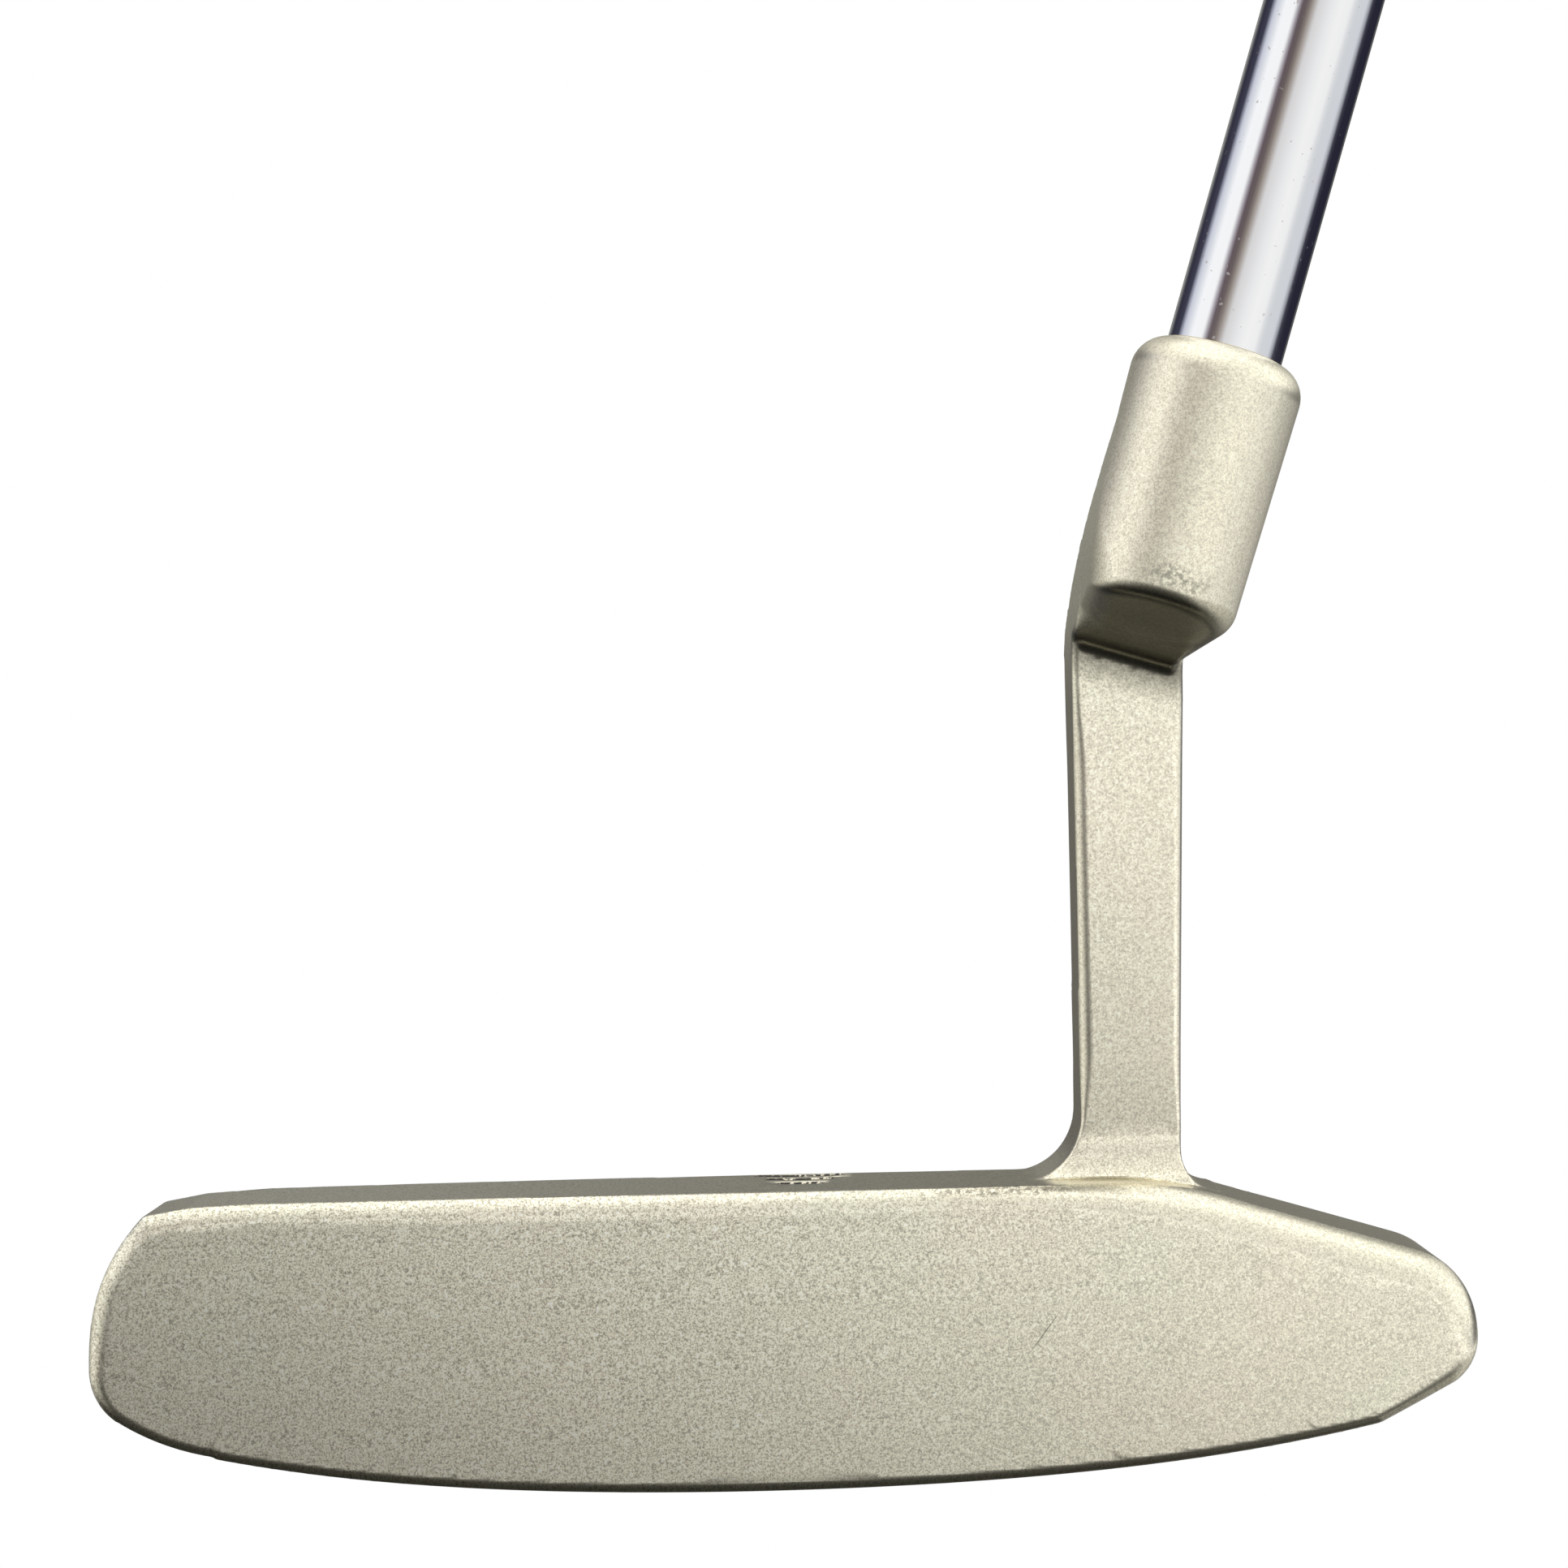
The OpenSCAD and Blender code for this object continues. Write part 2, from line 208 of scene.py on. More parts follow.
def rounded_or(a, b, r):
    """Two solids joined, with a fillet of radius r between them."""
    return np.maximum(r, np.minimum(a, b)) - np.hypot(np.maximum(r - a, 0), np.maximum(r - b, 0))


def eased_and(a, b, k):
    """Common part of two solids with an edge eased by k, the same at every distance."""
    return 0.5 * (a + b + np.sqrt((a - b) ** 2 + k * k))


def polygon_distance(points, x, y):
    """Signed distance from each (x, y) to a polygon, negative inside."""
    far = 1e9
    nearest = np.full(np.broadcast(x, y).shape, far, np.float32)
    inside = np.zeros(nearest.shape, bool)
    for (ax, ay), (bx, by) in zip(points, points[1:] + points[:1]):
        ex, ey = bx - ax, by - ay
        if ex == 0 and ey == 0:
            continue
        t = np.clip(((x - ax) * ex + (y - ay) * ey) / (ex * ex + ey * ey), 0, 1)
        nearest = np.minimum(nearest, np.hypot(x - ax - t * ex, y - ay - t * ey))
        if ey != 0:
            crosses = ((ay > y) != (by > y)) & (x < ax + (y - ay) * ex / ey)
            inside ^= crosses
    return np.where(inside, -nearest, nearest)


def sole_z(x):
    """Height of the sole, which bows up and steepens towards both ends."""
    d = x - SOLE_MID_X
    return d * d / (2 * SOLE_R) * (1 + (d / np.where(d < 0, SOLE_TOE_K, SOLE_HEEL_K)) ** 2)


def blade_outline():
    """Outline of the blade in x and z."""
    sole = [(x, float(sole_z(x))) for x in np.linspace(SOLE_HEEL_X, SOLE_TOE_X, 60)]
    bend_z = TOP_LINE_H - TOP_FALL - TOP_BEND_R
    return (sole + arc(*TOE_SOLE, 259.8, 237.7, 12) + arc(*TOE_LOW, 236, 180, 18)
            + arc(*TOE_SIDE, 180, 135, 24)
            + [(TOE_CORNER_X, TOP_LINE_H - TOE_CORNER_DROP), (TOP_TOE_X, TOP_LINE_H)]
            + arc(TOP_BEND_X, bend_z, TOP_BEND_R, 90, TOP_BEND_END, 14)
            + arc(*HEEL_HIGH, TOP_BEND_END, 0, 18) + arc(*HEEL_LOW, 0, -60, 14))


def toe_side_curve():
    """The toe side of the neck in x and z, bending over to the hosel's lean."""
    lean = math.degrees(LEAN)
    curve = arc(NECK_TOP_X + BEND_R, BEND_Z, BEND_R, 180, 180 - lean, 16)
    x, z = curve[-1]
    return curve + [(x + TOE_SIDE_TOP_SLOPE * (SIDES_TOP_Z - z), SIDES_TOP_Z)]


def toe_side_region():
    """Everything on the heel side of the neck's toe side."""
    far_x, low_z = 90, 20
    return [(NECK_FOOT_X, low_z)] + toe_side_curve() + [(far_x, SIDES_TOP_Z), (far_x, low_z)]


def neck_front_outline():
    """Outline of the neck in x and z."""
    heel = arc(NECK_TOP_X + NECK_TOP_W + HEEL_BEND_R, HEEL_BEND_Z, HEEL_BEND_R,
               180, 180 - math.degrees(LEAN), 8)
    x, z = heel[-1]
    toe_x, heel_x = NECK_FOOT_X - FLARE_TOE, NECK_FOOT_X + NECK_FOOT_W + FLARE_HEEL
    return ([(toe_x - 2, NECK_FOOT_Z), (toe_x - 2, FLARE_Z)]
            + arc(toe_x, FLARE_Z + FLARE_TOE, FLARE_TOE, 270, 360, 20)
            + toe_side_curve() + [(x + (SIDES_TOP_Z - z) * math.tan(LEAN), SIDES_TOP_Z)] + heel[::-1]
            + arc(heel_x, FLARE_Z - HEEL_DECK_FALL + FLARE_HEEL, FLARE_HEEL, 180, 270, 14)
            + [(heel_x, NECK_FOOT_Z)])


def neck_side_outline():
    """Outline of the neck in y and z, with its foot's sweep and the slope of the bridge's back."""
    back_y, back_z, front_z = NECK_Y + NECK_T, 67, 77.56
    return ([(back_y, NECK_FOOT_Z), (back_y, back_z), SLOPE_LOW, (NECK_Y, front_z)]
            + arc(NECK_Y - FLARE_FRONT, FLARE_Z + FLARE_FRONT * math.sin(SWEEP), FLARE_FRONT,
                  0, -math.degrees(SWEEP), 16)
            + [(NECK_Y - FLARE_FRONT * (1 - math.cos(SWEEP)), NECK_FOOT_Z)])


def face_and_edge(outline, x, y, z):
    """The outline cut off by the leaning face, with a rounded edge between them."""
    front = -(y - (z - FACE_MID_Z) * math.tan(LOFT)) * math.cos(LOFT)
    at_heel = rise(x, 15, 35)
    top_r = EDGE_TOP_R + HEEL_EDGE_MORE * at_heel
    edge_r = EDGE_LOW_R + (top_r - EDGE_LOW_R) * rise(z, 5, 17)
    ridge = RIDGE * (1 - 0.6 * at_heel) * rise(z, 12, 21)
    return np.maximum(rounded_and(outline - ridge, front, edge_r), outline)


def sloping_back(x, y, z):
    """Distance from the back's slope, from the deck's rear edge down to the sole's."""
    lean = math.atan2(SOLE_D - DECK_D, BACK_SLOPE_H)
    plan = PLAN_DROP * (x / PLAN_HALF_L) ** 2 + END_DROP * (x / END_HALF_L) ** 8
    return (y - DECK_D + plan) * math.cos(lean) + (z - TOP_LINE_H + BACK_TOP_DROP) * math.sin(lean)


def rear_limit(x, y):
    """Distance from the sole's rear edge, which curves forward at the ends."""
    ends = BACK_END_DROP * (x / END_HALF_L) ** 6
    return (y - SOLE_D + ends) / np.sqrt(1 + (6 * ends / np.maximum(np.abs(x), 1)) ** 2)


def cavity(x, y, z):
    """The pocket in the back: a rounded rectangle that widens backwards."""
    grow = CAVITY_DRAFT * np.maximum(y - CAVITY_Y, 0)
    qx = np.abs(x - CAVITY_X) - CAVITY_HALF_W + CAVITY_R - grow
    qz = np.abs(z - (CAVITY_Z0 + CAVITY_Z1) / 2) - (CAVITY_Z1 - CAVITY_Z0) / 2 + CAVITY_R - grow
    outside = np.hypot(np.maximum(qx, 0), np.maximum(qz, 0))
    pocket = outside + np.minimum(np.maximum(qx, qz), 0) - CAVITY_R
    return rounded_and(pocket, CAVITY_Y - y, CAVITY_FLOOR_R)


def blade_field(x, y, z):
    """The blade with its rounded face edge, sloping back, cambered sole and back cavity."""
    solid = face_and_edge(polygon_distance(blade_outline(), x, z), x, y, z)
    camber = SOLE_CAMBER * (np.maximum(y - CAMBER_FROM, 0) / CAMBER_RUN) ** 2
    solid = np.maximum(solid, sole_z(x) + camber - z)
    solid = rounded_and(solid, sloping_back(x, y, z), DECK_EDGE_R)
    solid = rounded_and(solid, rear_limit(x, y), BACK_EDGE_R)
    return rounded_and(solid, -cavity(x, y, z), CAVITY_MOUTH_R)


def neck_field(x, y, z):
    """The neck's post: rounder on its front's toe edge, and crisp down in the flares."""
    front = polygon_distance(neck_front_outline(), x, z)
    side = polygon_distance(neck_side_outline(), y, z)
    soft = rise(z, 27, 35) * (1 - 0.6 * rise(z, 58, 66))
    edge_r = NECK_EDGE_R + (NECK_EDGE_MORE + NECK_TOE_EDGE_MORE * fall(x, 26, 28)) * soft
    return rounded_and(front, side, edge_r)


def hosel_section(across, depth, radius):
    """Section across the hosel's axis: a circle in front, drawn back to the neck's sides behind."""
    radial = np.hypot(across, depth)
    span = NECK_Y - AXIS_Y
    half = NECK_TOP_W / 2 + 0.2
    turn = math.atan2(half, span) + math.acos(HOSEL_LOW_R / math.hypot(span, half))
    nx, ny = math.sin(turn), math.cos(turn)
    heel = np.where(depth * nx - across * ny > 0, across * nx + depth * ny, radial)
    toe = np.where(depth > 0, -across, radial)
    return np.where(across > 0, heel, toe) - radius


def bridge_back(y, z):
    """The sloping back of the bridge and the neck, with an eased edge between them."""
    run, climb = SLOPE_LOW[0] - SLOPE_HIGH[0], SLOPE_HIGH[1] - SLOPE_LOW[1]
    slope = ((y - SLOPE_LOW[0]) * climb + (z - SLOPE_LOW[1]) * run) / math.hypot(run, climb)
    return rounded_and(slope, y - NECK_Y - NECK_T, BRIDGE_EDGE_R)


def hosel_field(x, y, z):
    """The hosel and the bridge from the neck's top, over one slanted underside."""
    along = (x - AXIS_X) * math.sin(LEAN) + z * math.cos(LEAN) - HOSEL_LOW_U
    across = (x - AXIS_X) * math.cos(LEAN) - z * math.sin(LEAN)
    depth = y - AXIS_Y
    radius = HOSEL_LOW_R + (HOSEL_TOP_R - HOSEL_LOW_R) * along / HOSEL_L
    hosel = rounded_and(np.hypot(across, depth) - radius, along - HOSEL_L, SHOULDER_R)
    bridge = rounded_or(np.maximum(bridge_back(y, z), along - BRIDGE_L), hosel, BRIDGE_FILLET)
    upper = eased_and(hosel_section(across, depth, radius), bridge, SECTION_EASE * rise(depth, 2, 6))
    underside = -(along * math.cos(UNDERSIDE_TILT) + depth * math.sin(UNDERSIDE_TILT))
    return rounded_and(upper, underside, RIM_R + rise(across, 2, 7))


def head_field(x, y, z):
    """The whole casting: the blade, the neck and the hosel with fillets between them."""
    low = rounded_or(blade_field(x, y, z), neck_field(x, y, z), FOOT_FILLET)
    top_heel_x, inset, run = NECK_TOP_X + NECK_TOP_W, 0.1, 0.9
    middle = eased((x - NECK_TOP_X - inset) / run) * eased((top_heel_x - inset - x) / run)
    fillet = CORNER_FILLET + CORNER_MORE * middle * fall(y, 6.5, 8)
    head = rounded_or(low, hosel_field(x, y, z), fillet)
    toe_side = polygon_distance(toe_side_region(), x, z)
    toe_side_r = TOE_SIDE_R * fall(y, 0.5, 4.5) * fall(z, 69, 81)
    above_flares = z > 40
    return np.where(above_flares, rounded_and(head, toe_side, toe_side_r), head)


def mesh_of_field(name, field, regions, voxel):
    """Meshes the zero surface of a field over regions (low, high), all in millimetres."""
    reach = 3 * voxel
    grid = openvdb.FloatGrid(reach)
    for low, high in regions:
        first = [math.floor(v / voxel) for v in low]
        axes = [(np.arange(a, math.ceil(b / voxel) + 1) * voxel).astype(np.float32)
                for a, b in zip(first, high)]
        x, y, z = axes[0][:, None, None], axes[1][None, :, None], axes[2][None, None, :]
        values = np.clip(field(x, y, z), -reach, reach).astype(np.float32)
        grid.copyFromArray(np.ascontiguousarray(values), tuple(first))
    points, triangles, quads = grid.convertToPolygons(0.0, ADAPT)
    return new_object(name, points * voxel, triangles.tolist() + quads.tolist())


def shade_by_field(obj, field):
    """Gives points on a field's zero surface the field's slope as normals, where the mesh agrees."""
    step, off_surface, least_slope, least_agree = 0.02, 0.03, 0.3, 0.95
    mesh = obj.data
    points = np.empty(len(mesh.vertices) * 3)
    mesh.vertices.foreach_get("co", points)
    x, y, z = (points.reshape(-1, 3) / MM).T
    value = field(x, y, z)
    slope = np.stack([field(x + step, y, z), field(x, y + step, z), field(x, y, z + step)], 1)
    slope = (slope - value[:, None]) / step
    normals = slope / np.maximum(np.linalg.norm(slope, axis=1), least_slope)[:, None]
    meshed = np.empty(len(mesh.vertices) * 3)
    mesh.vertex_normals.foreach_get("vector", meshed)
    agree = np.sum(normals * meshed.reshape(-1, 3), axis=1)
    normals[(np.abs(value) > off_surface) | (agree < least_agree)] = 0
    mesh.normals_split_custom_set_from_vertices(normals.tolist())


# ---------------------------------------------------------------- head
def sight_cutter(i):
    """A bowed bar that cuts one sight line into the deck."""
    half = math.asin(SIGHT_LEN[i] / 2 / SIGHT_R)
    low, high = SIGHT_FLOOR_Z, SIGHT_FLOOR_Z + 3
    section = [(-SIGHT_W / 2, low), (SIGHT_W / 2, low), (SIGHT_W / 2, high), (-SIGHT_W / 2, high)]
    angles = np.linspace(-half, half, 25)
    middle_y = SIGHT_Y[i] + SIGHT_R
    points = [(SIGHT_X + (SIGHT_R + w) * math.sin(a), middle_y - (SIGHT_R + w) * math.cos(a), z)
              for a in angles for w, z in section]
    last = 4 * (len(angles) - 1)
    faces = grid_faces(len(angles), 4) + [(3, 2, 1, 0), (last, last + 1, last + 2, last + 3)]
    return new_object("sight_cutter", points, faces)


def paint_sight_lines(head, paint):
    """Puts the paint on the walls and floors of the sight lines."""
    head.data.materials.append(paint)
    centres = np.empty(len(head.data.polygons) * 3)
    head.data.polygons.foreach_get("center", centres)
    x, y, z = (centres.reshape(-1, 3) / MM).T
    mid_y, mid_z, half_w, half_d, half_h = 9.5, TOP_LINE_H - 0.7, 6, 5.5, 0.35
    inside = (np.abs(x - SIGHT_X) < half_w) & (np.abs(y - mid_y) < half_d) & (np.abs(z - mid_z) < half_h)
    head.data.polygons.foreach_set("material_index", inside.astype(np.int32))


def make_head():
    """The casting, with its sight lines and its blind bore cut out."""
    voxel = VOXEL
    toe, middle = ((-61, -3, -2), (-51, 24, 30)), ((-51, -3, -2), (51, 24, 30))
    heel, neck = ((51, -3, -2), (60, 24, 30)), ((14, -14.5, 30), (46, 17, 94.5))
    head = mesh_of_field("cast_head", head_field, (toe, middle, heel, neck), voxel)
    for i in range(3):
        cut(head, sight_cutter(i))
    centre_r, bore_top_u = 0.01, BORE_U + 40
    bore = [(BORE_R, BORE_U), (BORE_R, bore_top_u), (centre_r, bore_top_u), (centre_r, BORE_U)]
    cut(head, lathe("bore_cutter", bore, 128, SHAFT_AXES))
    head.data.set_sharp_from_angle(angle=math.radians(50))
    shade_by_field(head, head_field)
    return head


# ---------------------------------------------------------------- shaft
def make_shaft():
    """Stepped tube: each step is a short taper between two eased corners."""
    chamfer, ease, inset = 0.3, 0.35, 0.1
    step = (BUTT_R - TIP_R) / STEPS
    outside = [(TIP_R - chamfer, TIP_U), (TIP_R, TIP_U + chamfer)]
    for i in range(STEPS):
        u, r = FIRST_STEP_U + i * STEP_PITCH, TIP_R + i * step
        outside += [(r, u - ease), (r + step * 0.06, u + inset),
                    (r + step * 0.94, u + STEP_TAPER - inset), (r + step, u + STEP_TAPER + ease)]
    outside += [(BUTT_R, SHAFT_TOP_U)]
    inside = [(r - WALL, u) for r, u in outside[::-1]]
    shaft = lathe("plated_shaft", outside + inside, 160, SHAFT_AXES)
    shaft.data.set_sharp_from_angle(angle=math.radians(35))
    return shaft


# ---------------------------------------------------------------- grip
def grip_section(t, angle):
    """Points round the grip on its own axes; t is 0 at the mouth and 1 at the butt."""
    half_w = MOUTH_HALF_W + (BUTT_HALF_W - MOUTH_HALF_W) * eased(t * 1.15)
    front = MOUTH_DEPTH + (FRONT_DEPTH - MOUTH_DEPTH) * t
    pistol = (PISTOL_BACK - MOUTH_DEPTH - BACK_MORE) * rise(t, PISTOL_FROM, PISTOL_TO)
    back = MOUTH_DEPTH + BACK_MORE * eased(t * 1.4) + pistol
    c, s = np.cos(angle), np.sin(angle)
    power = np.where(c < 0, 2 / FRONT_POWER, 1)
    px = np.where(c < 0, front, back) * np.sign(c) * np.abs(c) ** power
    py = half_w * np.sign(s) * np.abs(s) ** power
    return px, py


def band(value, low, high, soft):
    """1 between low and high, falling to 0 over soft on each side."""
    return eased((value - low) / soft + 0.5) * eased((high - value) / soft + 0.5)


def weave_lines(turns):
    """1 on thin lines, one to a turn."""
    return rise(np.abs(turns % 1 - 0.5) * 2, 0.78, 0.92)


def grip_relief(t, length, px, py):
    """Depth of the moulded pattern, in millimetres below the outer skin."""
    u = t * length
    on_front = eased((-px - FRONT_X) / FRONT_EASE)
    panel = band(u, PANEL_GAP, length - PANEL_GAP, 3) * band(np.abs(py), -1, PANEL_HALF_W, 0.9)
    ribs = 0.5 + 0.5 * np.cos(2 * math.pi * (u + RIB_SLANT * np.abs(py)) / RIB_PITCH)
    front = on_front * panel * (PANEL_DEPTH + RIB_DEPTH * rise(ribs, 0.45, 0.7))
    along, around = u * WEAVE_STRETCH, np.arctan2(py, px) * WEAVE_R
    lines = np.maximum(weave_lines((along + around) / WEAVE_PITCH),
                       weave_lines((along - around) / WEAVE_PITCH))
    woven = band(u, WEAVE_MOUTH_GAP, length - WEAVE_BUTT_GAP, 2)
    sides = (1 - on_front) * woven * WEAVE_DEPTH * lines
    rings = sum(RING_DEPTH * band(u, c - RING_HALF_W, c + RING_HALF_W, 0.5) for c in RING_PLACES)
    return front + sides + rings


def make_grip():
    """The hollow pistol grip with its moulded pattern, and a thin lip at its mouth."""
    rows, sides = ((430, 216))
    length = SHAFT_TOP_U - MOUTH_U
    t = np.linspace(0, 1, rows)[:, None]
    angle = np.linspace(0, 2 * math.pi, sides, endpoint=False)[None, :] + 0 * t
    px, py = grip_section(t, angle)
    size = np.hypot(px, py)
    relief = grip_relief(t, length, px, py)
    lip = LIP_DEPTH * (1 - np.clip(t * length / LIP_L, 0, 1)) ** 2
    scale = (size - relief - lip) / size
    outer = np.stack([px * scale, py * scale, MOUTH_U + t * length + 0 * px], -1).reshape(-1, 3)
    circle = np.stack([np.cos(angle[0]), np.sin(angle[0]), 0 * angle[0]], -1)
    inner = [circle * (r, r, 1) + (0, 0, u) for r, u in
             ((TAPE_R, SHAFT_TOP_U), (TAPE_R, TAPE_U), (BUTT_R, TAPE_U), (BUTT_R, MOUTH_U))]
    points = np.concatenate([outer] + inner)
    grip = new_object("pistol_grip", points, grid_faces(rows + 4, sides, True), SHAFT_AXES)
    grip.data.set_sharp_from_angle(angle=math.radians(50))
    return grip


def make_butt_cap():
    """Cap with an eased rim, a shallow dish with two rings, and the vent hole."""
    sides = 120
    angle = np.linspace(0, 2 * math.pi, sides, endpoint=False)
    px, py = grip_section(np.ones(sides), angle)
    # Share of the full section, and depth below the cap's top: the rim, then the dish and its ring
    skirt = [(1, CAP_T), (1, 1.6), (0.995, 1.0), (0.975, 0.45), (0.94, 0.12), (0.9, 0), (0.84, 0.02)]
    dish = [(0.82, 0.35), (0.6, 0.5), (0.58, 0.25), (0.54, 0.25), (0.52, 0.5), (0.34, 0.55)]
    rows = [np.stack([px * share, py * share, 0 * px + CLUB_L - depth], -1)
            for share, depth in skirt + dish]
    circle = np.stack([np.cos(angle), np.sin(angle), 0 * angle], -1)
    vent = [(VENT_R + 1.2, 0.55), (VENT_R + 0.2, 0.6), (VENT_R, 0.8), (VENT_R, CAP_T)]
    rows += [circle * (r, r, 1) + (0, 0, CLUB_L - depth) for r, depth in vent]
    cap = new_object("butt_cap", np.concatenate(rows), grid_faces(len(rows), sides, True), SHAFT_AXES)
    cap.data.set_sharp_from_angle(angle=math.radians(40))
    return cap


# ---------------------------------------------------------------- materials
class Nodes:
    """A node tree, with short calls for the nodes used here."""

    def __init__(self, tree):
        self.tree = tree

    def node(self, kind, **options):
        made = self.tree.nodes.new(kind)
        for key, value in options.items():
            setattr(made, key, value)
        return made

    def feed(self, socket, value):
        """Links a socket to another one, or gives it a plain value."""
        if isinstance(value, bpy.types.NodeSocket):
            self.tree.links.new(value, socket)
        else:
            socket.default_value = value

    def filled(self, made, values):
        """Feeds a node's first inputs in order, and returns the node."""
        for socket, value in zip(made.inputs, values):
            self.feed(socket, value)
        return made

    def math(self, operation, a, b=0.0):
        return self.filled(self.node("ShaderNodeMath", operation=operation), (a, b)).outputs[0]

    def product(self, first, *others):
        for other in others:
            first = self.math("MULTIPLY", first, other)
        return first

    def dot(self, vector, direction):
        made = self.node("ShaderNodeVectorMath", operation="DOT_PRODUCT")
        return self.filled(made, (vector, direction)).outputs["Value"]

    def axes(self, vector):
        return self.filled(self.node("ShaderNodeSeparateXYZ"), (vector,)).outputs[:3]

    def spread(self, value, low, high, out_low=0.0, out_high=1.0):
        """Maps low..high to out_low..out_high, clamped."""
        made = self.node("ShaderNodeMapRange")
        return self.filled(made, (value, low, high, out_low, out_high)).outputs[0]

    def rise(self, value, low, high):
        """0 below low and 1 above high, eased between them."""
        made = self.node("ShaderNodeMapRange", interpolation_type="SMOOTHSTEP")
        return self.filled(made, (value, low, high)).outputs[0]

    def mix(self, factor, a, b):
        """Colour a where factor is 0, and colour b where it is 1."""
        made = self.node("ShaderNodeMix", data_type="RGBA")
        for socket, value in zip((made.inputs[0], made.inputs[6], made.inputs[7]), (factor, a, b)):
            self.feed(socket, value)
        return made.outputs[2]


class Shader(Nodes):
    """A new material with one principled shader."""

    def __init__(self, name, **settings):
        self.material = bpy.data.materials.new(name)
        self.material.use_nodes = True
        super().__init__(self.material.node_tree)
        self.principled = self.tree.nodes["Principled BSDF"]
        self.set(**settings)
        self.place = self.node("ShaderNodeTexCoord").outputs["Object"]

    def set(self, **sockets):
        """Feeds the shader's inputs by name, with _ for a space."""
        for key, value in sockets.items():
            self.feed(self.principled.inputs[key.replace("_", " ")], value)

    def noise(self, size_mm, detail=2.0, roughness=0.5, stretch=(1, 1, 1), seed=0.0):
        """Noise with features of about size_mm, as a value around 0.5."""
        mapping = self.node("ShaderNodeMapping")
        self.feed(mapping.inputs["Vector"], self.place)
        mapping.inputs["Scale"].default_value = stretch
        mapping.inputs["Location"].default_value = (seed, seed * 0.7, -seed)
        made = self.node("ShaderNodeTexNoise")
        self.feed(made.inputs["Vector"], mapping.outputs[0])
        made.inputs["Scale"].default_value = 1 / (size_mm * MM)
        made.inputs["Detail"].default_value = detail
        made.inputs["Roughness"].default_value = roughness
        return made.outputs["Fac"]

    def near(self, centre, size, soft, turn=0.0):
        """1 inside an ellipsoid at centre with half sizes size, in millimetres, fading outwards."""
        mapping = self.node("ShaderNodeMapping", vector_type="TEXTURE")
        mapping.inputs["Rotation"].default_value = (0, turn, 0)
        self.feed(mapping.inputs["Vector"], self.place)
        mapping.inputs["Location"].default_value = [c * MM for c in centre]
        mapping.inputs["Scale"].default_value = [s * MM for s in size]
        length = self.node("ShaderNodeVectorMath", operation="LENGTH")
        self.feed(length.inputs[0], mapping.outputs[0])
        return self.spread(length.outputs["Value"], 1 + soft / 2, 1 - soft / 2)

    def bump(self, height, distance_mm, strength, under=None):
        made = self.node("ShaderNodeBump")
        made.inputs["Strength"].default_value = strength
        made.inputs["Distance"].default_value = distance_mm * MM
        self.feed(made.inputs["Height"], height)
        if under:
            self.feed(made.inputs["Normal"], under)
        return made.outputs[0]


# Warm grey of the blasted finish, in two close tones
METAL_TONES = (0.9, 0.84, 0.685, 1), (0.875, 0.84, 0.68, 1)
# Worn and smudged places on the metal: centre, half sizes in millimetres, and strength
METAL_WEAR = [((30.6, -11.6, 73.7), (1.4, 2, 0.9), 0.45), ((32.6, -11.4, 72.8), (1.5, 2, 0.9), 0.45),
              ((17.0, 1.0, 24.0), (6.5, 1.6, 0.35), 0.6), ((-57.2, 0.6, 9.0), (1.3, 1.6, 4.5), 0.2),
              ((55.6, 0.6, 14.2), (0.5, 1.2, 1.6), 0.6), ((-38.0, -0.5, 20.0), (0.7, 1, 0.6), 0.5),
              ((40.0, -11.0, 92.0), (0.5, 2, 0.4), 0.4)]
SCRATCH_PLACE, SCRATCH_SIZE, SCRATCH_TURN = (20.1, -0.4, 12.4), (0.06, 2, 2.1), math.radians(38)


def blasted_speckle(s, grain, coarse):
    """Light and dark of the grain: stronger towards the toe, and weaker up the neck."""
    x, _, z = s.axes(s.place)
    dark = s.math("ADD", s.spread(x, -10 * MM, 40 * MM, 0.42, 0.66), s.spread(z, 26 * MM, 34 * MM, 0, 0.12))
    light = s.spread(x, -10 * MM, 40 * MM, 1.42, 1.22)
    return s.product(s.spread(grain, 0.36, 0.64, dark, light), s.spread(coarse, 0.3, 0.7, 0.97, 1.03))


def worn_places(s, shade):
    """Darkens the worn places and the scratch."""
    marks = s.noise(0.45, 3.0, 0.65, seed=12)
    for centre, size, strength in METAL_WEAR:
        worn = s.product(s.near(centre, size, 0.8), s.spread(marks, 0.44, 0.6, 0, strength))
        shade = s.product(shade, s.math("SUBTRACT", 1.0, worn))
    scratch = s.near(SCRATCH_PLACE, SCRATCH_SIZE, 0.5, SCRATCH_TURN)
    return s.product(shade, s.spread(scratch, 0, 1, 1, 0.5))


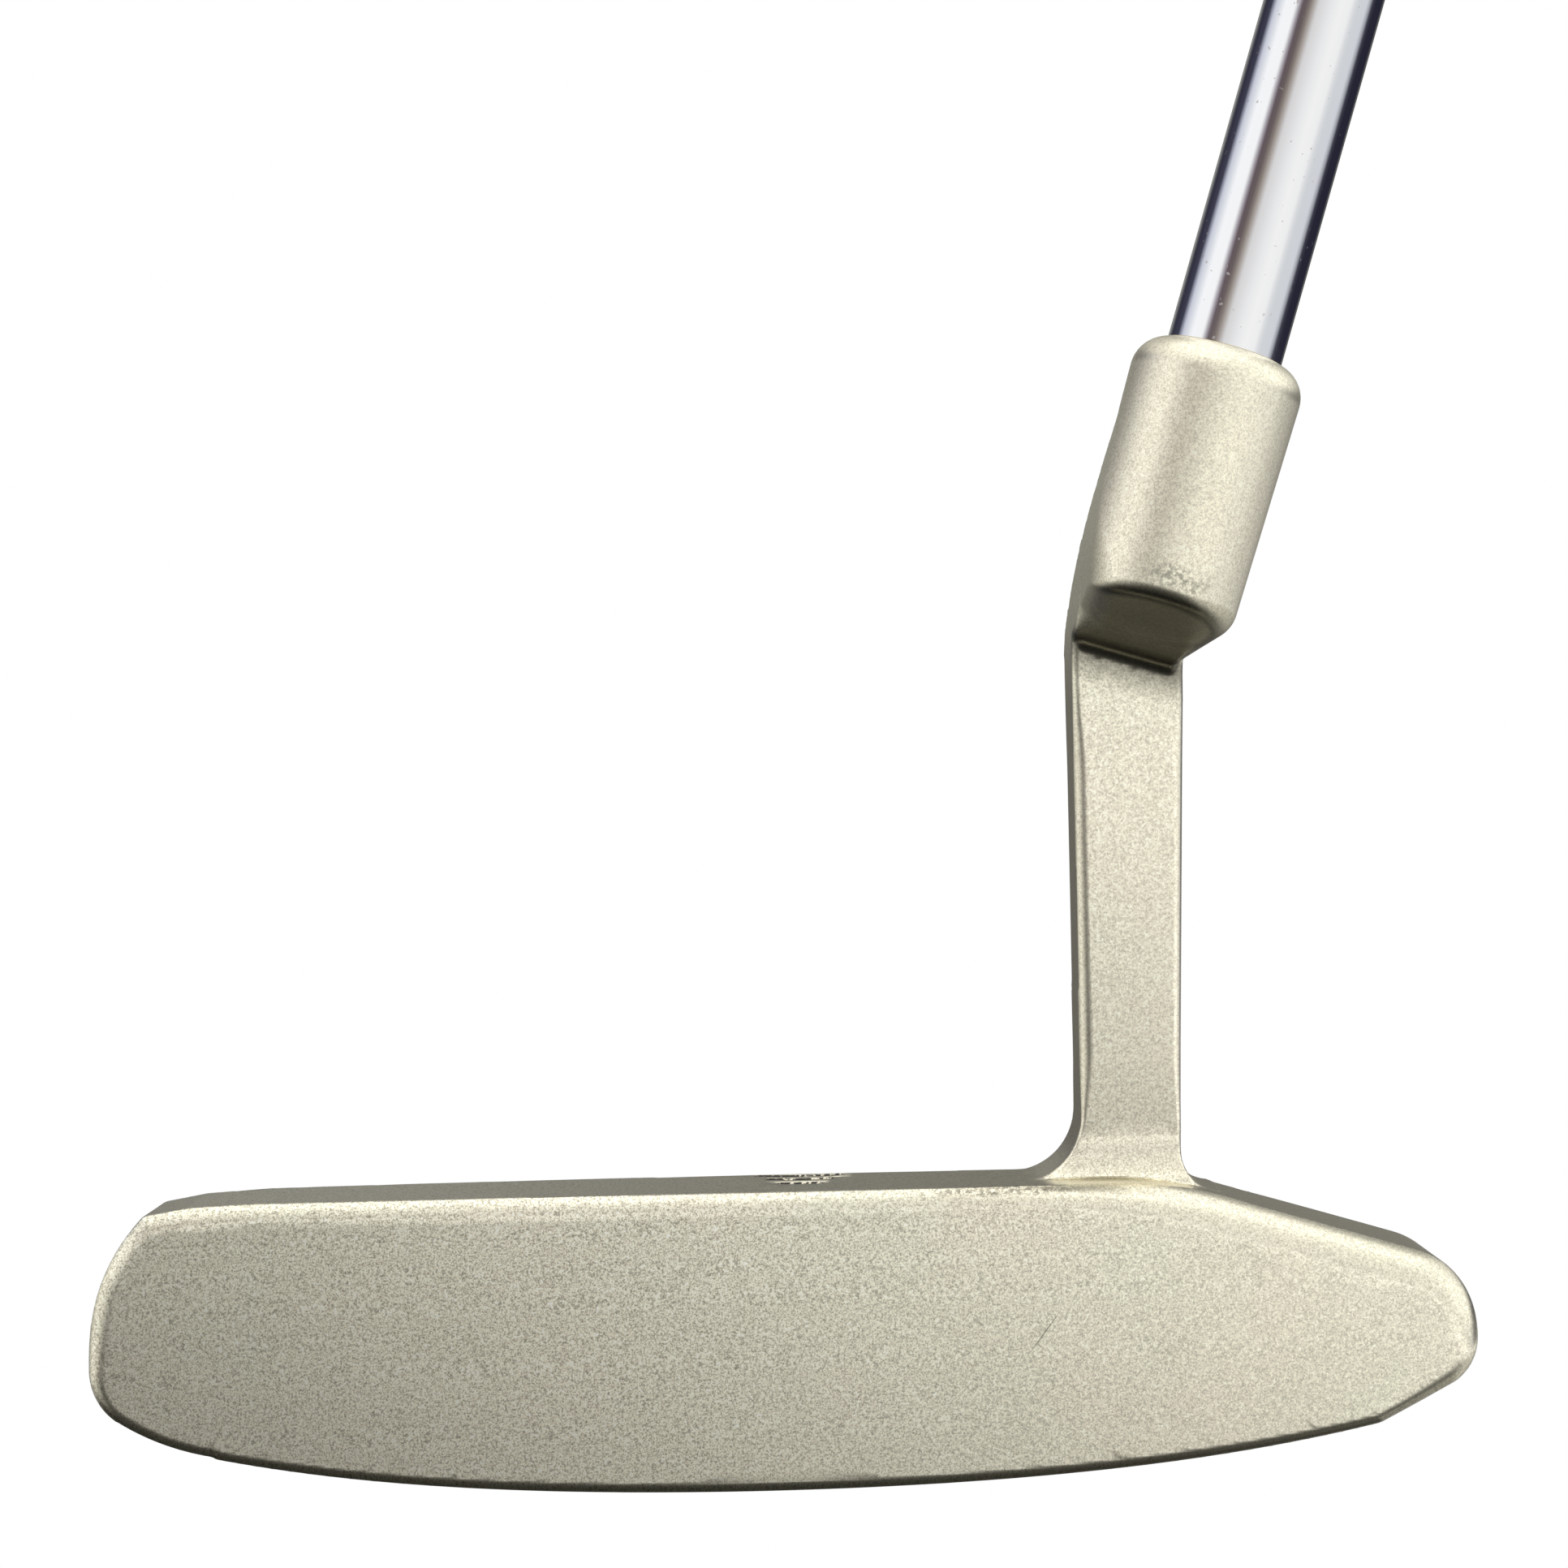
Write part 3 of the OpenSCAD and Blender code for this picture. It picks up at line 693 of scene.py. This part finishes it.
def rim_painted_shade(s):
    """Painted shade under the hosel: darkens its underside, its rim and the neck's top below it, most at
    its front edge and in the corner with the neck.
    """
    sine, tilt = math.sin(LEAN), math.tan(UNDERSIDE_TILT)
    above = s.dot(s.place, (sine / MM, tilt / MM, math.cos(LEAN) / MM))
    above = s.math("SUBTRACT", above, HOSEL_LOW_U + AXIS_X * sine + AXIS_Y * tilt)
    strip = s.product(s.spread(above, -3.4, -0.4, 0, 0.6), s.spread(above, 0.3, 0.8, 1, 0))
    x, y, _ = s.axes(s.place)
    middle = (AXIS_X + HOSEL_LOW_Z * math.tan(LEAN), AXIS_Y, HOSEL_LOW_Z)
    core = s.near(middle, (5.4, 5.4, 60), 0.2, LEAN)
    front = s.product(s.spread(core, 0, 1, 1.35, 0.5), s.spread(y, -4 * MM, 1 * MM, 1, 0.1))
    corner = s.spread(y, 3.5 * MM, 5.5 * MM, 0, 1.15)
    before_neck, to_toe = s.spread(y, 6.6 * MM, 8 * MM, 1, 0), s.spread(x, 33 * MM, 36 * MM, 1, 0.35)
    return s.product(strip, s.math("ADD", front, corner), before_neck, to_toe)


def blasted_metal():
    """Bead-blasted cast steel with a warm grey finish, its grain, blotches, smudges and wear, and painted
    shade under the hosel.
    """
    s = Shader("blasted_metal", Metallic=1.0)
    grain = s.product(s.math("ADD", s.noise(0.14, 1.0, 0.5), s.noise(0.3, 3.0, 0.75, seed=5)), 0.5)
    coarse = s.noise(0.5, 2.0, 0.5, seed=3)
    blotch = s.noise(14, 2.0, 0.5, seed=9)
    shade = worn_places(s, blasted_speckle(s, grain, coarse))
    # Painted shade under the hosel, on its underside, its rim and the neck's top below it
    shade = s.product(shade, s.math("SUBTRACT", 1.0, rim_painted_shade(s)))
    colour = s.node("ShaderNodeVectorMath", operation="SCALE")
    s.feed(colour.inputs[0], s.mix(s.spread(blotch, 0.35, 0.65), *METAL_TONES))
    s.feed(colour.inputs["Scale"], shade)
    duller_hosel = s.spread(s.axes(s.place)[2], 64 * MM, 72 * MM, 0, 0.08)
    s.set(Base_Color=colour.outputs[0],
          Roughness=s.math("ADD", s.spread(grain, 0.35, 0.65, 0.32, 0.27), duller_hosel),
          Normal=s.bump(grain, 0.02, 0.08, s.bump(coarse, 0.02, 0.08)))
    return s.material


def worn_paint():
    """Dark paint in the sight lines, worn through to bright metal in spots."""
    s = Shader("worn_paint")
    worn = s.spread(s.noise(0.5, 3.0, 0.6, seed=5), 0.53, 0.6)
    s.set(Base_Color=s.mix(worn, (0.035, 0.03, 0.025, 1), (0.75, 0.7, 0.58, 1)), Metallic=worn,
          Roughness=s.spread(worn, 0, 1, 0.6, 0.3))
    s.set(Normal=s.bump(s.noise(0.3, 2.0, seed=2), 0.02, 0.5))
    return s.material


def plated_chrome():
    """Bright plating with faint haze along the tube and a few tiny pits."""
    s = Shader("plated_chrome", Metallic=1.0)
    haze = s.noise(3, 3.0, 0.55, stretch=(1, 1, 0.2), seed=4)
    pits = s.spread(s.noise(0.45, 1.0, 0.5, seed=8), 0.735, 0.76)
    s.set(Base_Color=s.mix(pits, (0.93, 0.935, 0.95, 1), (0.6, 0.58, 0.57, 1)),
          Roughness=s.math("ADD", s.spread(haze, 0.35, 0.65, 0.035, 0.075), s.product(pits, 0.2)))
    s.set(Normal=s.bump(haze, 0.01, 0.02))
    return s.material


def grip_rubber():
    """Moulded black rubber, with dust in the pattern and a fine matte skin."""
    s = Shader("grip_rubber", Specular_IOR_Level=0.35)
    skin = s.noise(0.25, 2.0, 0.6)
    dust = s.spread(s.noise(18, 3.0, 0.6, seed=6), 0.4, 0.75, 0, 0.5)
    s.set(Base_Color=s.mix(dust, (0.017, 0.017, 0.018, 1), (0.045, 0.043, 0.04, 1)),
          Roughness=s.spread(skin, 0.3, 0.7, 0.5, 0.68))
    s.set(Normal=s.bump(skin, 0.03, 0.35))
    return s.material


def cap_rubber():
    """Black rubber a little smoother than the grip's, with faint dust."""
    s = Shader("cap_rubber", Specular_IOR_Level=0.45)
    skin = s.noise(0.4, 2.0, 0.6, seed=1)
    dust = s.spread(s.noise(6, 2.0, seed=2), 0.4, 0.7)
    s.set(Base_Color=s.mix(dust, (0.014, 0.014, 0.015, 1), (0.03, 0.03, 0.03, 1)),
          Roughness=s.spread(skin, 0.3, 0.7, 0.38, 0.52))
    s.set(Normal=s.bump(skin, 0.02, 0.3))
    return s.material


def cured_glue():
    """Amber glue, glossy and a little lumpy."""
    s = Shader("cured_glue", Roughness=0.25)
    s.set(Base_Color=s.mix(s.noise(1.5, 2.0), (0.62, 0.5, 0.28, 1), (0.74, 0.63, 0.4, 1)))
    s.set(Normal=s.bump(s.noise(0.8, 2.0, seed=3), 0.03, 0.4))
    return s.material


def plug_plastic():
    """Off-white moulded plastic."""
    s = Shader("plug_plastic", Roughness=0.5)
    s.set(Base_Color=s.mix(s.noise(2, 2.0), (0.72, 0.72, 0.68, 1), (0.82, 0.82, 0.78, 1)))
    s.set(Normal=s.bump(s.noise(0.5, 2.0), 0.03, 0.3))
    return s.material


def tape_paper():
    """Pale creased paper tape, with fibres along the shaft."""
    s = Shader("tape_paper", Roughness=0.8)
    fibre = s.noise(0.5, 3.0, 0.6, stretch=(1, 1, 0.25))
    s.set(Base_Color=s.mix(fibre, (0.72, 0.66, 0.5, 1), (0.86, 0.82, 0.68, 1)))
    s.set(Normal=s.bump(fibre, 0.05, 0.5))
    return s.material


# ---------------------------------------------------------------- pieces on the frame
def dress(obj, material):
    """Gives an object one material."""
    obj.data.materials.clear()
    obj.data.materials.append(material)


def place(obj, node, material):
    """Puts a made piece in place of a CAD node."""
    dress(obj, material)
    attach(obj, "root")
    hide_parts(node)


metal = blasted_metal()
head = make_head()
place(head, "putter_head", metal)
place(make_shaft(), "shaft", plated_chrome())
place(make_grip(), "grip_sleeve", grip_rubber())
place(make_butt_cap(), "grip_butt_cap", cap_rubber())

paint = worn_paint()
paint_sight_lines(head, paint)
for line in ("rear", "middle", "front"):
    dress(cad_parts[line + "_sight_line_paint"], paint)
dress(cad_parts["hosel_glue"], cured_glue())
dress(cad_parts["tip_plug"], plug_plastic())
dress(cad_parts["grip_tape"], tape_paper())


# ---------------------------------------------------------------- camera and light
# The tent, by degrees round from the front (+ to the heel): low walls, high walls, sky and floor
LOW_WALLS = [(-180, (0.12, 0.12, 0.11)), (-165, (0.3, 0.3, 0.29)), (-143, (0.35, 0.35, 0.35)),
             (-119, (0.6, 0.6, 0.6)), (-92, (1, 1, 1)), (-75, (1.45, 1.44, 1.44)),
             (-45, (1.4, 1.38, 1.39)), (-22, (0.92, 0.91, 0.91)), (-8, (1.2, 1.2, 1.19)),
             (6, (1.6, 1.6, 1.58)), (31, (1.85, 1.85, 1.82)), (52, (1.65, 1.65, 1.63)),
             (66, (1.3, 1.3, 1.3)), (92, (1.1, 1.1, 1.1)), (130, (0.75, 0.75, 0.75)),
             (150, (0.25, 0.25, 0.25)), (180, (0.12, 0.12, 0.11))]
HIGH_WALLS = [(-180, (0.12, 0.12, 0.11)), (-165, (0.3, 0.3, 0.29)), (-152, (0.1, 0.1, 0.11)),
              (-143, (0.03, 0.03, 0.05)), (-119, (0.05, 0.05, 0.08)), (-111, (0.3, 0.31, 0.38)),
              (-104, (0.6, 0.62, 0.7)), (-92, (0.76, 0.78, 0.82)), (-80, (0.96, 0.97, 0.98)),
              (-58, (0.96, 0.96, 0.96)), (-50, (0.4, 0.37, 0.4)), (-44, (0.13, 0.1, 0.11)),
              (-36, (0.14, 0.11, 0.11)), (-29, (0.24, 0.2, 0.18)), (-22, (0.42, 0.38, 0.35)),
              (-13, (0.7, 0.69, 0.69)), (4, (0.8, 0.8, 0.8)), (13, (0.86, 0.86, 0.86)),
              (31, (0.93, 0.93, 0.91)), (50, (0.9, 0.9, 0.89)), (58, (0.74, 0.75, 0.76)),
              (66, (0.66, 0.68, 0.7)), (86, (0.66, 0.67, 0.71)), (94, (0.4, 0.41, 0.45)),
              (102, (0.05, 0.05, 0.07)), (113, (0.02, 0.02, 0.035)), (143, (0.02, 0.02, 0.035)),
              (152, (0.1, 0.1, 0.1)), (180, (0.12, 0.12, 0.11))]
SKY = [(-180, (0.3, 0.3, 0.29)), (-130, (0.7, 0.7, 0.68)), (-90, (1.05, 1.05, 1.02)),
       (-50, (0.95, 0.95, 0.93)), (30, (0.95, 0.95, 0.93)), (60, (1.25, 1.25, 1.22)),
       (100, (1.35, 1.35, 1.32)), (130, (0.9, 0.9, 0.88)), (160, (0.35, 0.35, 0.34)),
       (180, (0.3, 0.3, 0.29))]
FLOOR_EDGE = [(-180, (0.06, 0.06, 0.06)), (-160, (0.08, 0.08, 0.08)), (-145, (0.35, 0.35, 0.33)),
              (-120, (0.6, 0.6, 0.57)), (-100, (0.9, 0.9, 0.87)), (-75, (0.85, 0.85, 0.82)),
              (-50, (0.4, 0.4, 0.38)), (-32, (0.03, 0.03, 0.025)), (35, (0.03, 0.03, 0.025)),
              (60, (0.4, 0.4, 0.38)), (95, (0.6, 0.6, 0.57)),
              (112, (0.5, 0.5, 0.47)), (145, (0.35, 0.35, 0.33)), (160, (0.08, 0.08, 0.08)),
              (180, (0.06, 0.06, 0.06))]
FLOOR = (0.03, 0.03, 0.025, 1)
# Degrees up between which one of them gives way to the next
FLOOR_RISE, WALL_RISE, SKY_RISE = (-50, -25), (5.5, 8.6), (16, 28)
HORIZON, HORIZON_BACK = (-4.8, -0.8), (-1, 6)
# Degrees round between which the back's horizon takes over from the front's
BEHIND = (125, 155)
# The panel overhead: its direction, its edge in degrees from there, and its light
PANEL, PANEL_SPAN, PANEL_LIGHT = Vector((0.05, -0.08, 0.99)), (24, 38), (1.45, 1.45, 1.4, 1)
WHITE = (1, 1, 1, 1)


def make_camera():
    """Level with a point above the blade, looking along +Y, with the club turned a little in the frame."""
    distance, height, roll = 0.280, 0.05803, math.radians(-1.67)
    data = bpy.data.cameras.new("camera")
    data.lens, data.sensor_width = 78.3, 36
    data.clip_start, data.clip_end = 0.01, 20
    camera = bpy.data.objects.new("camera", data)
    facing = Vector((0, 1, 0)).to_track_quat("-Z", "Y").to_matrix().to_4x4()
    camera.matrix_world = (Matrix.Translation((0, -distance, height)) @ facing
                           @ Matrix.Rotation(roll, 4, "Z"))
    bpy.context.scene.collection.objects.link(camera)
    bpy.context.scene.camera = camera


def by_turn(n, turn, stops):
    """A colour by turn (0 to 1) from stops of (degrees round, colour)."""
    made = n.filled(n.node("ShaderNodeValToRGB"), (turn,))
    elements = made.color_ramp.elements
    places = [0.5 + angle / 360 for angle, _ in stops]
    elements[0].position, elements[1].position = places[0], places[-1]
    for position in places[1:-1]:
        elements.new(position)
    for element, (_, colour) in zip(elements, stops):
        element.color = (*colour, 1)
    return made.outputs[0]


def degrees(n, operation, a, b=0.0):
    """An angle in degrees, by one of the inverse functions."""
    return n.math("MULTIPLY", n.math(operation, a, b), 180 / math.pi)


def tent_angles(n, direction):
    """Degrees round and degrees up, seen from a club whose shaft stands upright."""
    level = n.node("ShaderNodeVectorRotate", rotation_type="Y_AXIS")
    n.feed(level.inputs["Vector"], direction)
    n.feed(level.inputs["Angle"], -LEAN)
    x, y, z = n.axes(level.outputs[0])
    return degrees(n, "ARCTAN2", x, n.math("MULTIPLY", y, -1.0)), degrees(n, "ARCSINE", z)


def tent_colour(n, azimuth, elevation):
    """Light of the tent's floor, walls and sky."""
    turn = n.math("ADD", n.math("DIVIDE", azimuth, 360.0), 0.5)
    walls = n.mix(n.rise(elevation, *WALL_RISE), by_turn(n, turn, LOW_WALLS), by_turn(n, turn, HIGH_WALLS))
    walls = n.mix(n.rise(elevation, *SKY_RISE), walls, by_turn(n, turn, SKY))
    floor = n.mix(n.rise(elevation, *FLOOR_RISE), FLOOR, by_turn(n, turn, FLOOR_EDGE))
    behind = n.rise(n.math("ABSOLUTE", azimuth), *BEHIND)
    horizon = n.mix(behind, n.rise(elevation, *HORIZON), n.rise(elevation, *HORIZON_BACK))
    return n.mix(horizon, floor, walls)


def make_light():
    """A tent of light round the club, level with the shaft's lean. It is bright in front and overhead,
    with a dark bar at the front left, a dark floor in front and dim sides behind. The camera itself sees
    plain white."""
    world = bpy.data.worlds.new("tent")
    bpy.context.scene.world = world
    world.use_nodes = True
    world.node_tree.nodes.clear()
    n = Nodes(world.node_tree)
    direction = n.node("ShaderNodeTexCoord").outputs["Generated"]
    tent = tent_colour(n, *tent_angles(n, direction))
    from_panel = degrees(n, "ARCCOSINE", n.dot(direction, PANEL.normalized()))
    tent = n.mix(n.rise(from_panel, *PANEL_SPAN), PANEL_LIGHT, tent)
    seen = n.mix(n.node("ShaderNodeLightPath").outputs["Is Camera Ray"], tent, WHITE)
    background = n.filled(n.node("ShaderNodeBackground"), (seen,))
    n.filled(n.node("ShaderNodeOutputWorld"), background.outputs[:1])
    bpy.context.scene.view_settings.view_transform = "Standard"


make_camera()
make_light()
